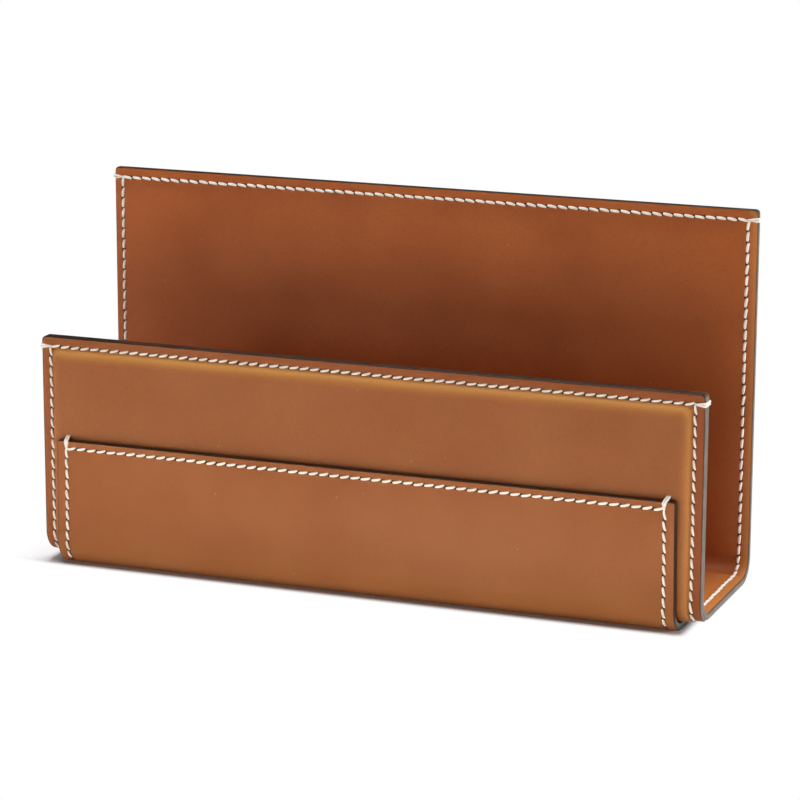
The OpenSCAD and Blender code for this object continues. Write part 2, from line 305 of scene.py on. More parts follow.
def faceSide(front):  # turns the whole sheet so that its largest upright face at the front looks to front
    bpy.ops.mesh.select_all(action="SELECT")
    bpy.ops.mesh.remove_doubles(threshold=tiny)
    bpy.ops.mesh.normals_make_consistent(inside=False)
    mesh = bmesh.from_edit_mesh(bpy.context.object.data)
    upright = max((f for f in mesh.faces if middle(f).y < slotMiddle),
                  key=lambda f: f.calc_area() * abs(f.normal.y))
    if upright.normal.dot(front) < 0:
        bpy.ops.mesh.flip_normals()


def seamCut(point, across, onWall):  # three cuts side by side along a seam line
    for shift in (-groove["halfWidth"], 0, groove["halfWidth"]):
        pick("faces", onWall)
        bpy.ops.mesh.bisect(plane_co=Vector(point) + Vector(across) * shift, plane_no=across)


def keepGroup(name):  # remembers the picked points under a name
    bpy.ops.object.vertex_group_assign_new()
    bpy.context.object.vertex_groups.active.name = name


def pickGroup(name, add=True):
    bpy.ops.object.vertex_group_set_active(group=name)
    if add:
        bpy.ops.object.vertex_group_select()
    else:
        bpy.ops.object.vertex_group_deselect()


def paintPoints(piece, name, share):  # attribute that the leather reads, from 0 to 1 at each point
    layer = piece.data.attributes.new(name, "FLOAT", "POINT")
    for v in piece.data.vertices:
        layer.data[v.index].value = share(v)


def thinOut(piece, share):  # weights for the thickness, from 0 to 1 at each point
    bpy.ops.object.mode_set(mode="OBJECT")
    thinning = piece.vertex_groups.new(name="thinning")
    for v in piece.data.vertices:
        thinning.add([v.index], share(v), "REPLACE")


def thicken(piece, leather, thickness, edgeRound, endReflection=False, creaseShadeAndWax=groove["dark"]):
    # gives the sheet its thickness, presses in the seam lines and rounds the painted edge of its show side
    if piece.mode == "EDIT":
        bpy.ops.object.mode_set(mode="OBJECT")
    piece.data.materials.append(leather)
    piece.data.materials.append(paintedEdge)
    piece.data.materials.append(reflectingEndPaint)
    piece.vertex_groups.new(name="back")
    thick = piece.modifiers.new("thickness", "SOLIDIFY")
    thick.thickness = thickness
    thick.offset = -1
    thick.use_even_offset = True
    thick.shell_vertex_group = "back"
    thick.material_offset_rim = 1
    if "thinning" in piece.vertex_groups:
        thick.vertex_group = "thinning"
    bpy.ops.object.modifier_apply(modifier=thick.name)
    bpy.ops.object.mode_set(mode="EDIT")
    bpy.ops.mesh.select_mode(type="VERT")
    if "seam" in piece.vertex_groups:
        bpy.ops.mesh.select_all(action="DESELECT")
        pickGroup("seam")
        pickGroup("back", add=False)
        bpy.ops.transform.shrink_fatten(value=-groove["depth"])
    bpy.ops.mesh.select_all(action="DESELECT")
    pickGroup("back")
    bpy.ops.mesh.select_all(action="INVERT")
    bpy.ops.mesh.select_mode(type="FACE")
    bpy.ops.mesh.region_to_loop()
    bpy.ops.mesh.bevel(offset=edgeRound, segments=edgeSteps, affect="EDGES", material=1)
    if endReflection:  # the painted rims of the open ends take the lighter paint, a painted reflection
        pick("faces", lambda f: f.material_index == 1 and abs(f.normal.x) > endFacing)
        bpy.context.object.active_material_index = 2
        bpy.ops.object.material_slot_assign()
    bpy.ops.object.mode_set(mode="OBJECT")
    if "seam" in piece.vertex_groups:
        seam = piece.vertex_groups["seam"].index
        # the seam line is painted darker: shade in the crease and the thread's wax
        paintPoints(piece, "creaseShadeAndWax", lambda v: creaseShadeAndWax if seam in [g.group for g in v.groups] else 0.0)
    piece.vertex_groups.clear()
    bpy.ops.object.shade_smooth_by_angle(angle=leatherSmooth)


def settle(piece, slotName, *nodes):
    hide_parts(*nodes)
    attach(piece, "root")


def uMoves(depth, radius, low):  # down the front wall, over the base and up the back wall
    return [
        ((0, 0, low + radius - frontTop), 0),
        ((0, radius, 0), 90),
        ((0, depth - 2 * radius, 0), 0),
        ((0, 0, radius), 90),
        ((0, 0, backTop - low - radius), 0),
    ]


def roundTopCorners(radius):
    def onCorner(v):
        top = frontTop if v.co.y < slotMiddle else backTop
        return abs(v.co.x) > halfWidth - tiny and v.co.z > top - tiny
    pick("verts", onCorner)
    bpy.ops.mesh.bevel(offset=radius, affect="VERTICES", segments=channel["cornerSteps"])


def channelSeams(frontWall=True):
    for side in (-1, 1):
        seamCut((side * seamX, 0, 0), (1, 0, 0), lambda f: True)
    if frontWall:
        seamCut((0, 0, frontSeam), (0, 0, 1),
                lambda f: middle(f).y < slotMiddle and abs(f.normal.y) > flatWall)
    seamCut((0, 0, backSeam), (0, 0, 1),
            lambda f: middle(f).y > slotMiddle and abs(f.normal.y) > flatWall)

    def onSeam(v):
        level = frontSeam if v.co.y < slotMiddle else backSeam
        onEnd = abs(abs(v.co.x) - seamX) < tiny and v.co.z < level + tiny
        onTop = abs(v.co.z - level) < tiny and abs(v.co.x) < seamX + tiny
        return onEnd or onTop
    pick("verts", onSeam)
    keepGroup("seam")


def skived(v):  # 0 at the seam, 1 at the open ends and at the top edges
    top = frontTop if v.co.y < slotMiddle else backTop
    outside = max(abs(v.co.x) - halfWidth, v.co.z - top)
    return max(0.0, 1 + outside / (halfWidth - skiveStart))


# channel lining, the leather of the letter slot

lining = startEdge("channelLining", halfWidth, slotFront, frontTop)
draw((0, slotFront, frontTop), uMoves(slotBack - slotFront, channel["bendRadius"], slotFloor))
faceSide(Vector((0, 1, 0)))
roundTopCorners(channel["cornerRadius"])
channelSeams()
for side in (-1, 1):
    pick("faces", lambda f: True)
    bpy.ops.mesh.bisect(plane_co=(side * (seamX - channel["endLightFade"]), 0, 0), plane_no=(1, 0, 0))
paring = {round(skived(v), shareDigits) for v in bmesh.from_edit_mesh(lining.data).verts}
for share in sorted(paring - {0.0}):
    pick("verts", lambda v: abs(skived(v) - share) < 10 ** -shareDigits)
    bpy.ops.transform.shrink_fatten(value=-share * channel["skive"])
thinOut(lining, lambda v: 1 - skived(v) * channel["skive"] / channel["leather"])
thicken(lining, liningLeather, channel["leather"], channel["edgeRound"], endReflection=True)


def litOpenEnds(v):  # painted light: lighter on the base at both ends and, as a highlight, where it is pared at the right end
    onBase = v.co.z < slotFloor + tiny and abs(v.co.x) > seamX - channel["endLightFull"]
    pared = channel["endLightPared"] * math.sqrt(skived(v)) if v.co.x > seamX else 0.0
    return max(pared, channel["endLightBase"] if onBase else 0.0)


paintPoints(lining, "stretchAndHighlight", litOpenEnds)
settle(lining, "lining_leather", "channel_lining")
print("lining folded:", len(lining.data.polygons), "faces")

# channel cover, the outer leather of the same channel

cover = startEdge("channelCover", halfWidth, coverLow.y, frontTop)
draw((0, coverLow.y, frontTop), uMoves(coverHigh.y - coverLow.y, outerRadius, coverLow.z))
faceSide(Vector((0, -1, 0)))
roundTopCorners(channel["cornerRadius"])
channelSeams(frontWall=False)
thicken(cover, tanLeather, channel["leather"], channel["edgeRound"], endReflection=True)
settle(cover, "saddle_leather", "channel_cover")
print("cover folded:", len(cover.data.polygons), "faces")

# front panel, moulded over its filler

panel = {
    "leather": 2.1 * mm,
    "fieldRise": 2.7 * mm,
    "flange": 4.45 * mm,
    "fieldCorner": 4.6 * mm,   # plan radius that the shoulder is inset from
    "footCorner": 2.2 * mm,    # plan radius at the foot, once it is pressed into the corner
    "cornerSteps": 6,
    "edgeRound": 0.4 * mm,
    # shoulder of the raised field from its foot: distance in, height reached, how much lighter it is painted
    # for stretch and highlight
    "shoulder": [(0.3 * mm, 0.85 * mm, 0.95), (0.7 * mm, 1.4 * mm, 1.0), (1.3 * mm, 1.92 * mm, 0.75),
                 (2.1 * mm, 2.34 * mm, 0.42), (3.1 * mm, 2.6 * mm, 0.18), (4.4 * mm, 2.7 * mm, 0.0)],
    "thinnest": 0.28,          # share of its thickness where the panel ends under the bend
    "stretchLightTop": 0.55,           # how much lighter the shoulder is painted along the top and the ends: stretched hide and painted highlight, more on the right
    "stretchLightRight": 0.26,
    "stretchLightLeft": 0.15,
    "stretchLightBlend": 5 * mm,       # width over which one passes into the other at the corners
    "creaseEdge": 1.1 * mm,    # how far outside the foot the leather still takes the golden tint of stretch and painted highlight
    "creaseShadeAndWax": 0.15,            # how dark its seam line is painted: shade in the crease and wax
    "pressedAndShaded": 0.7,            # how much redder and darker the flange is in the middle: pressed leather and painted shade
    "pressedAndShadedMore": 0.3,        # how much more of that at the right end, and less at the left
    "ringSlack": 0.1 * mm,     # tolerance for finding a ring of the shoulder
    "cornerReach": 1.1,        # points of the flange's corners lie within this many radii
    "middleReach": 1 * mm,     # the field is the face whose middle is this near the centre
}
flangeFace = panelLow.y + panel["fieldRise"]
fieldHalf = halfWidth - panel["flange"]
fieldTop = frontTop - panel["flange"]


def insideField(v):  # how far a point lies inside the foot of the raised field
    corner = panel["fieldCorner"]
    x = abs(v.co.x) - (fieldHalf - corner)
    z = v.co.z - (fieldTop - corner)
    if x > 0 and z > 0:
        return corner - math.hypot(x, z)
    return corner - max(x, z)


front = startEdge("frontPanel", fieldHalf, flangeFace, bendTop)
draw((0, flangeFace, bendTop), [((0, 0, fieldTop - bendTop), 0)])
pick("verts", lambda v: v.co.z > fieldTop - tiny)
bpy.ops.mesh.bevel(offset=panel["fieldCorner"], affect="VERTICES", segments=panel["cornerSteps"])
pick("edges", lambda e: middle(e).z > bendTop + tiny)  # flange drawn outwards from the foot of the field
bpy.ops.mesh.extrude_region_move()
bpy.ops.transform.resize(value=(halfWidth / fieldHalf, 1, (frontTop - bendTop) / (fieldTop - bendTop)),
                         center_override=(0, flangeFace, bendTop))
for side in (-1, 1):  # its own corners are tighter
    reach = panel["fieldCorner"] * panel["cornerReach"]
    pick("verts", lambda v: v.co.x * side > halfWidth - reach and v.co.z > frontTop - reach
         and insideField(v) < -tiny)
    tighter = channel["cornerRadius"] / panel["fieldCorner"]
    bpy.ops.transform.resize(value=(tighter, 1, tighter),
                             center_override=(side * halfWidth, flangeFace, frontTop))
rings = [distance for distance, height, stretchAndHighlight in panel["shoulder"]]
for reached, distance in zip([0] + rings, rings):
    pick("faces", lambda f: abs(middle(f).x) < panel["middleReach"]
         and middle(f).z < fieldTop - reached - tiny)
    bpy.ops.mesh.inset(thickness=distance - reached, use_boundary=False, use_even_offset=True)
pick("edges", lambda e: middle(e).z < bendTop + tiny)
tuckAngle = math.degrees(math.acos((flangeFace + outerRadius - panelHigh.y) / outerRadius))
draw((0, flangeFace, bendTop), [((0, outerRadius, 0), tuckAngle)])
faceSide(Vector((0, -1, 0)))
risen = 0
for distance, height, stretchAndHighlight in panel["shoulder"]:
    pick("verts", lambda v: insideField(v) > distance - panel["ringSlack"])
    bpy.ops.transform.translate(value=(0, risen - height, 0))
    risen = height
for distance in [0] + rings:  # corners pressed tight at the foot and rounder further in
    tight = panel["footCorner"] / panel["fieldCorner"]
    tight += (1 - tight) * distance / rings[-1]
    for side in (-1, 1):
        pick("verts", lambda v: abs(insideField(v) - distance) < panel["ringSlack"]
             and v.co.x * side > fieldHalf - panel["fieldCorner"] - tiny
             and v.co.z > fieldTop - panel["fieldCorner"] - tiny)
        bpy.ops.transform.resize(value=(tight, 1, tight),
                                 center_override=(side * (fieldHalf - distance), 0, fieldTop - distance))


def onFlange(f):
    return min(insideField(v) for v in f.verts) < -tiny


for side in (-1, 1):
    seamCut((side * seamX, 0, 0), (1, 0, 0), onFlange)
seamCut((0, 0, frontSeam), (0, 0, 1), onFlange)
pick("verts", lambda v: (abs(abs(v.co.x) - seamX) < tiny and v.co.z < frontSeam + tiny)
     or (abs(v.co.z - frontSeam) < tiny and abs(v.co.x) < seamX + tiny))
keepGroup("seam")
thinOut(front, lambda v: 1 if v.co.z > bendTop - tiny else max(panel["thinnest"], -v.normal.y))
thicken(front, tanLeather, panel["leather"], panel["edgeRound"], endReflection=True, creaseShadeAndWax=panel["creaseShadeAndWax"])


def stretchedAndLit(v):  # most along the top, where the hide was pulled over; partly stretch and partly painted highlight, more on the right
    near = min(panel["shoulder"], key=lambda ring: abs(ring[0] - insideField(v)))
    toEnd, toTop = fieldHalf - abs(v.co.x), fieldTop - v.co.z
    alongTop = min(1.0, max(0.0, 0.5 + (toEnd - toTop) / panel["stretchLightBlend"]))
    endLightening = panel["stretchLightRight"] if v.co.x > 0 else panel["stretchLightLeft"]
    lightening = alongTop * panel["stretchLightTop"] + (1 - alongTop) * endLightening
    return near[2] * lightening if insideField(v) > -panel["creaseEdge"] else 0.0


def pressedAndShaded(v):  # redder and darker towards the right end: pressed leather and painted shade
    share = panel["pressedAndShaded"] + panel["pressedAndShadedMore"] * v.co.x / halfWidth
    return share if insideField(v) < -panel["creaseEdge"] else 0.0


paintPoints(front, "stretchAndHighlight", stretchedAndLit)
paintPoints(front, "pressedAndShaded", pressedAndShaded)
settle(front, "saddle_leather", "front_panel")
print("front panel moulded:", len(front.data.polygons), "faces")

# pocket, two leathers that turn under the base

pocket = {
    "cover": 1.4 * mm,
    "lining": 1.2 * mm,
    "bendRadius": 10 * mm,     # outside
    "topMargin": 8.3 * mm,     # its top corners from the ends of the channel
    "topInset": 2.9 * mm,
    "sideInset": 3.9 * mm,
    "cornerRadius": 0.9 * mm,
    "cornerSteps": 4,
    "edgeRound": 0.35 * mm,
    "seamReach": 4 * mm,       # how far behind the wall the side seam lines run into the bend
    "toneAbove": 6 * mm,       # how far over the bend its lighter tone starts
    "toneFade": 13 * mm,       # height over which that grows
    "bendLight": 0.09,       # how light it gets, as a share of the golden tint: painted light from below, with some stretch round the bend
}
pocketTop = pocketHigh.z
pocketHalf = pocketHigh.x
pocketTopHalf = halfWidth - pocket["topMargin"]
pocketSeam = pocketTop - pocket["topInset"]
pocketHole = pocketTopHalf - pocket["sideInset"]
pocketBack = pocketLow.y + pocket["cover"] + pocket["lining"]


def jSheet(name, face, low, radius):  # down the front and under the base
    sheet = startEdge(name, pocketHalf, face, pocketTop)
    draw((0, face, pocketTop), [
        ((0, 0, low + radius - pocketTop), 0),
        ((0, radius, 0), 90),
        ((0, pocketHigh.y - face - radius, 0), 0),
    ])
    pick("verts", lambda v: v.co.z > pocketTop - tiny)
    bpy.ops.transform.resize(value=(pocketTopHalf / pocketHalf, 1, 1), center_override=(0, 0, 0))
    bpy.ops.mesh.bevel(offset=pocket["cornerRadius"], affect="VERTICES", segments=pocket["cornerSteps"])
    return sheet


def onFace(f):  # the front of the pocket with its bend
    return middle(f).y < pocketLow.y + pocket["bendRadius"] - tiny


pocketOuter = jSheet("pocketCover", pocketLow.y, pocketLow.z, pocket["bendRadius"])
faceSide(Vector((0, -1, 0)))
lean = math.atan((pocketHalf - pocketTopHalf) / pocketTop)
for side in (-1, 1):
    seamCut((side * pocketHole, 0, pocketSeam), (side * math.cos(lean), 0, math.sin(lean)), onFace)
seamCut((0, 0, pocketSeam), (0, 0, 1), lambda f: f.normal.y < -flatWall)
bendTone = pocketLow.z + pocket["bendRadius"] + pocket["toneAbove"]
pick("faces", lambda f: f.normal.y < -flatWall)
bpy.ops.mesh.bisect(plane_co=(0, 0, bendTone), plane_no=(0, 0, 1))


def onPocketSeam(v):
    sideLine = pocketHole + (pocketSeam - v.co.z) * math.tan(lean)
    onFront = v.co.z < pocketSeam + tiny and v.co.y < pocketBack + pocket["seamReach"]
    onTop = abs(v.co.z - pocketSeam) < tiny and abs(v.co.x) < pocketHole + tiny
    return onTop or (onFront and abs(abs(v.co.x) - sideLine) < tiny)


pick("verts", onPocketSeam)
keepGroup("seam")
thicken(pocketOuter, tanLeather, pocket["cover"], pocket["edgeRound"])


def litBendFoot(v):  # lighter towards the foot of the bend: painted light from below, with some stretch of the hide
    return pocket["bendLight"] * min(1.0, max(0.0, (bendTone - v.co.z) / pocket["toneFade"]))


paintPoints(pocketOuter, "stretchAndHighlight", litBendFoot)
settle(pocketOuter, "saddle_leather", "pocket_cover")

innerRadius = pocket["bendRadius"] - pocket["cover"] - pocket["lining"]
pocketFloor = pocketLow.z + pocket["cover"] + pocket["lining"]
pocketInner = jSheet("pocketLining", pocketBack, pocketFloor, innerRadius)
faceSide(Vector((0, 1, 0)))
thicken(pocketInner, liningLeather, pocket["lining"], pocket["edgeRound"])
settle(pocketInner, "lining_leather", "pocket_lining")
print("pocket folded:", len(pocketOuter.data.polygons) + len(pocketInner.data.polygons), "faces")

# saddle stitches

thread = {
    "diameter": 0.93 * mm,
    "pitch": 4 * mm,
    "run": 3.76 * mm,          # length of thread that shows between two holes
    "seat": 0.06 * mm,         # height of its axis over the leather
    "topSlant": 11,
    "backSlant": 6,
    "sideSlant": 9,
    "insideSlant": -4,
    "wander": 3.5,             # degrees that the hand strays from stitch to stitch
    "stray": 0.1 * mm,         # distance that it strays from the line
    "slitLength": 1.7 * mm,
    "slitWidth": 0.42 * mm,
    "slitLean": 24,            # degrees that the awl was turned from square, in the sense of the stitch
    "slitSink": 0.06 * mm,     # its mouth below the level of the leather
    "slitDepth": 0.45 * mm,
    "slitTaper": (0.3, 0.5),   # share of its width and length at the bottom
    "sides": 8,
    "seed": 7,                 # of the hand that strays
    "cuts": (-0.4, -0.24, 0, 0.24, 0.4),  # rings of the grain, in shares of its run
    # beyond these shares of its run, one after the other: thinner by, down by and aside by
    "ends": ((0.2, 0.95, 0.03 * mm, 0.04 * mm), (0.38, 0.84, 0.1 * mm, 0.11 * mm),
             (0.48, 0.6, 0.3 * mm, 0.12 * mm)),
    # thickness of each row, as a share of the diameter
    "gauges": {"backInside": 1.15, "backOutside": 1.0, "frontOutside": 0.95, "frontInside": 1.0,
               "endInside": 1.2, "endOutside": 1.0, "pocket": 1.04},
}
hand = random.Random(thread["seed"])


def modelStitch(lay):  # a grain of thread along X, both ends pulled into their holes and one bent aside
    bpy.ops.object.select_all(action="DESELECT")
    bpy.ops.mesh.primitive_cylinder_add(vertices=thread["sides"], radius=thread["diameter"] / 2,
                                        depth=thread["run"], rotation=(0, math.radians(90), 0))
    bpy.ops.object.transform_apply(location=True, rotation=True, scale=True)
    stitch = editNew("stitch")
    for share in thread["cuts"]:
        bpy.ops.mesh.select_all(action="SELECT")
        bpy.ops.mesh.bisect(plane_co=(share * thread["run"], 0, 0), plane_no=(1, 0, 0))
    for share, thinner, drop, aside in thread["ends"]:
        pick("verts", lambda v: abs(v.co.x) > share * thread["run"])
        bpy.ops.transform.resize(value=(1, thinner, thinner), center_override=(0, 0, 0))
        bpy.ops.transform.translate(value=(0, 0, -drop))
        pick("verts", lambda v: v.co.x > share * thread["run"])
        bpy.ops.transform.translate(value=(0, lay * aside, 0))
    bpy.ops.mesh.select_all(action="SELECT")
    bpy.ops.transform.translate(value=(0, 0, thread["seat"]))
    bpy.ops.object.mode_set(mode="OBJECT")
    stitch.data.materials.append(creamThread)
    bpy.ops.object.shade_smooth_by_angle(angle=threadSmooth)
    return stitch


def modelSlit():  # a dark lens-shaped plug for an awl hole across X, tapering into the leather, painted with the hole's shade
    bpy.ops.object.select_all(action="DESELECT")
    bpy.ops.mesh.primitive_circle_add(vertices=thread["sides"], radius=0.5, fill_type="NGON")
    slit = editNew("slit")
    bpy.ops.transform.resize(value=(thread["slitWidth"], thread["slitLength"], 1), center_override=(0, 0, 0))
    bpy.ops.transform.translate(value=(0, 0, -thread["slitSink"]))
    bpy.ops.mesh.extrude_region_move(TRANSFORM_OT_translate={"value": (0, 0, -thread["slitDepth"])})
    bpy.ops.transform.resize(value=(*thread["slitTaper"], 1), center_override=(0, 0, 0))
    bpy.ops.mesh.select_all(action="SELECT")
    bpy.ops.mesh.normals_make_consistent(inside=False)
    bpy.ops.object.mode_set(mode="OBJECT")
    slit.data.materials.append(darkHole)
    return slit


grains = {lay: modelStitch(lay) for lay in (-1, 1)}
slit = modelSlit()


def rowPlaces(start, along, length, outward):  # middle, direction and length of each stitch of a straight row
    count = max(1, round(length / thread["pitch"]))
    step = length / count
    along = Vector(along).normalized()
    return [(Vector(start) + along * step * (i + 0.5), along, Vector(outward), step) for i in range(count)]


def bendPlaces(centre, radius, heading, outside, count=3, skip=0):  # the same round a quarter bend across X
    places = []
    step = radius * math.pi / 2 / count
    for i in range(count - skip):
        turn = math.radians(heading + (i + 0.5) * 90 / count)
        along = Vector((0, math.cos(turn), math.sin(turn)))
        down = Vector((0, math.sin(turn), -math.cos(turn)))
        sag = step * step / (8 * radius) * (0.5 if outside else -0.5)  # half the arc's height over its chord
        places.append((Vector(centre) + down * (radius + sag), along, down if outside else -down, step))
    return places


def copyTo(model, place):
    copy = model.copy()
    copy.data = model.data.copy()
    bpy.context.scene.collection.objects.link(copy)
    copy.matrix_world = place
    return copy


def sew(name, node, rows):  # stitch and awl hole copied along rows of (places, slant, gauge)
    copies = []
    for places, slant, gauge in rows:
        for centre, along, outward, step in places:
            across = outward.cross(along)
            turn = Matrix((along, across, outward)).transposed().to_4x4()
            stray = math.radians(slant + hand.uniform(-1, 1) * thread["wander"])
            shift = across * hand.uniform(-1, 1) * thread["stray"]
            size = Matrix.Diagonal((step / thread["pitch"], gauge, gauge, 1))
            place = Matrix.Translation(centre + shift) @ turn @ Matrix.Rotation(stray, 4, "Z") @ size
            copies.append(copyTo(grains[math.copysign(1, slant)], place))
            awl = math.radians(math.copysign(thread["slitLean"], -slant))
            place = Matrix.Translation(centre + along * step / 2) @ turn @ Matrix.Rotation(awl, 4, "Z")
            copies.append(copyTo(slit, place))
    bpy.ops.object.select_all(action="DESELECT")
    for copy in copies:
        copy.select_set(True)
    seam = copies[0]
    bpy.context.view_layer.objects.active = seam
    bpy.ops.object.join()
    bpy.ops.object.transform_apply(location=True, rotation=True, scale=True)
    seam.name = seam.data.name = name
    settle(seam, "waxed_thread", node)
    print(name, "sewn with", len(copies) // 2, "stitches")


toFront, toBack = (0, -1, 0), (0, 1, 0)
toRight, toLeft = (1, 0, 0), (-1, 0, 0)
topRun = 2 * seamX
gauges = thread["gauges"]
sew("backTopStitching", "back_top_seam", [
    (rowPlaces((-seamX, slotBack, backSeam), toRight, topRun, toFront),
     -thread["backSlant"], gauges["backInside"]),
    (rowPlaces((seamX, coverHigh.y, backSeam), toLeft, topRun, toBack),
     thread["backSlant"], gauges["backOutside"]),
])
sew("frontTopStitching", "front_top_seam", [
    (rowPlaces((-seamX, flangeFace, frontSeam), toRight, topRun, toFront),
     thread["topSlant"], gauges["frontOutside"]),
    (rowPlaces((seamX, slotFront, frontSeam), toLeft, topRun, toBack),
     -thread["topSlant"], gauges["frontInside"]),
])


def endRows(x):  # down the front wall, over the base and up the back wall, inside and outside
    inner, outer = channel["bendRadius"], outerRadius
    frontBend, backBend = slotFront + inner, slotBack - inner
    baseRun = backBend - frontBend
    inside = rowPlaces((x, slotFront, frontSeam), (0, 0, -1), frontSeam - bendTop, toBack)
    inside += bendPlaces((x, frontBend, bendTop), inner, -90, False)
    inside += rowPlaces((x, frontBend, slotFloor), (0, 1, 0), baseRun, (0, 0, 1))
    inside += bendPlaces((x, backBend, bendTop), inner, 0, False)
    inside += rowPlaces((x, slotBack, bendTop), (0, 0, 1), backSeam - bendTop, toFront)
    outside = rowPlaces((x, flangeFace, frontSeam), (0, 0, -1), frontSeam - bendTop, toFront)
    outside += bendPlaces((x, flangeFace + outer, bendTop), outer, -90, True, skip=1)
    outside += rowPlaces((x, frontBend, coverLow.z), (0, 1, 0), baseRun, (0, 0, -1))
    outside += bendPlaces((x, backBend, bendTop), outer, 0, True)
    outside += rowPlaces((x, coverHigh.y, bendTop), (0, 0, 1), backSeam - bendTop, toBack)
    return [(inside, thread["insideSlant"], gauges["endInside"]),
            (outside, thread["sideSlant"], gauges["endOutside"])]


sew("leftEndStitching", "left_end_seam", endRows(-seamX))
sew("rightEndStitching", "right_end_seam", endRows(seamX))
sew("pocketTopStitching", "pocket_top_seam", [
    (rowPlaces((-pocketHole, pocketLow.y, pocketSeam), toRight, 2 * pocketHole, toFront),
     thread["topSlant"], gauges["pocket"]),
])
for side, name, node in ((-1, "pocketLeftStitching", "pocket_left_seam"),
                         (1, "pocketRightStitching", "pocket_right_seam")):
    downwards = Vector((side * math.sin(lean), 0, -math.cos(lean)))
    bendStart = pocketLow.z + pocket["bendRadius"]
    places = rowPlaces((side * pocketHole, pocketLow.y, pocketSeam), downwards,
                       (pocketSeam - bendStart) / math.cos(lean), toFront)
    bendX = side * (pocketHole + (pocketSeam - bendStart) * math.tan(lean))
    places += bendPlaces((bendX, pocketLow.y + pocket["bendRadius"], bendStart), pocket["bendRadius"], -90,
                         True, count=4, skip=2)
    sew(name, node, [(places, thread["sideSlant"], gauges["pocket"])])
for model in (*grains.values(), slit):
    bpy.data.objects.remove(model)

# tacks, doubled thread round the edge at the ends of the top seams

tack = {
    "diameter": 0.85 * mm,
    "lift": 0.2 * mm,          # axis of the thread over the leather
    "turn": 0.5 * mm,          # radius where it dives into its hole
    "edgeTurn": 0.6 * mm,      # radius round the edge of the leather
    "pocketTurn": 1.1 * mm,    # the same over the pocket's edge
    "depth": 0.7 * mm,         # how far it is modelled into its hole
    "spacing": 0.88 * mm,
    "pinch": 0.45,             # share of that spacing where both threads share a hole
    "rise": 1.1 * mm,          # hole in the panel over the pocket's edge
    "splay": 0.7 * mm,         # how far outwards it is
    "splayEdge": 0.3,          # share of that already reached on the pocket's edge
    "edgeReach": 0.3 * mm,     # how far below the pocket's edge that starts
    "panelReach": 1 * mm,      # how far in front of the panel it is splayed fully
    "pinchReach": 0.7 * mm,    # how far outside the end seam both threads are still drawn together
    "pocketPinch": 0.6 * mm,   # the same above the pocket's seam
    "faceReach": 0.5 * mm,     # thread within this depth of the lining's face lies on it
    "pullDown": 0.75,          # share of the paring that it is pulled down by
    "sides": 10,
    "steps": 6,                # of each bend
}


def modelTack(start, heading, moves, axis):  # an open tube drawn along runs and bends, then closed
    bpy.ops.object.select_all(action="DESELECT")
    bpy.ops.mesh.primitive_circle_add(vertices=tack["sides"], radius=tack["diameter"] / 2,
                                      fill_type="NOTHING")
    tube = editNew("tack")
    turn = Vector((0, 0, 1)).rotation_difference(heading).to_matrix().to_4x4()
    for v in bmesh.from_edit_mesh(tube.data).verts:
        v.co = turn @ v.co + start
    bpy.ops.mesh.select_all(action="SELECT")
    draw(start, moves, axis=axis, steps=tack["steps"])
    bpy.ops.mesh.select_all(action="SELECT")
    bpy.ops.mesh.remove_doubles(threshold=tiny)
    bpy.ops.mesh.fill_holes(sides=0)
    bpy.ops.mesh.select_all(action="SELECT")
    bpy.ops.mesh.normals_make_consistent(inside=False)
    bpy.ops.object.mode_set(mode="OBJECT")
    tube.data.materials.append(creamThread)
    bpy.ops.object.shade_smooth_by_angle(angle=threadSmooth)
    return tube


def joinTacks(name, tubes):
    bpy.ops.object.select_all(action="DESELECT")
    for tube in tubes:
        tube.select_set(True)
    bpy.context.view_layer.objects.active = tubes[0]
    bpy.ops.object.join()
    joined = bpy.context.object
    joined.name = joined.data.name = name
    return joined


def endTacks(name, node, near, far, level):  # out of the corner hole, round the end of the wall and in behind
    tubes = []
    lift, turn, edge = tack["lift"], tack["turn"], tack["edgeTurn"]
    dive = tack["depth"] + lift - turn
    across = halfWidth + lift - edge - seamX - turn
    through = far - near + 2 * (lift - edge)
    for side in (-1, 1):
        for row in (-0.5, 0.5):
            start = Vector((side * seamX, near + tack["depth"], level + row * tack["spacing"]))
            moves = [
                ((0, -dive, 0), 0),
                ((side * turn, 0, 0), side * 90),
                ((side * across, 0, 0), 0),
                ((0, edge, 0), side * 90),
                ((0, through, 0), 0),
                ((-side * edge, 0, 0), side * 90),
                ((-side * across, 0, 0), 0),
                ((0, -turn, 0), side * 90),
                ((0, -dive, 0), 0),
            ]
            tubes.append(modelTack(start, Vector((0, -1, 0)), moves, "Z"))
    tacks = joinTacks(name, tubes)
    bpy.ops.object.mode_set(mode="EDIT")
    pick("verts", lambda v: abs(v.co.x) < seamX + tack["pinchReach"])
    bpy.ops.transform.resize(value=(1, 1, tack["pinch"]), center_override=(0, 0, level))
    inwards = 1 if near > slotMiddle else -1  # pulled down on the pared end of the lining
    liningFace = near if near > slotMiddle else far
    pick("verts", lambda v: abs(v.co.x) > skiveStart and (v.co.y - liningFace) * inwards < tack["faceReach"])
    bpy.ops.transform.translate(value=(0, inwards * tack["pullDown"] * channel["skive"], 0))
    bpy.ops.object.mode_set(mode="OBJECT")
    settle(tacks, "waxed_thread", node)


endTacks("backCornerTacks", "back_corner_wraps", slotBack, coverHigh.y, backSeam)
endTacks("frontCornerTacks", "front_corner_wraps", flangeFace, slotFront, frontSeam)

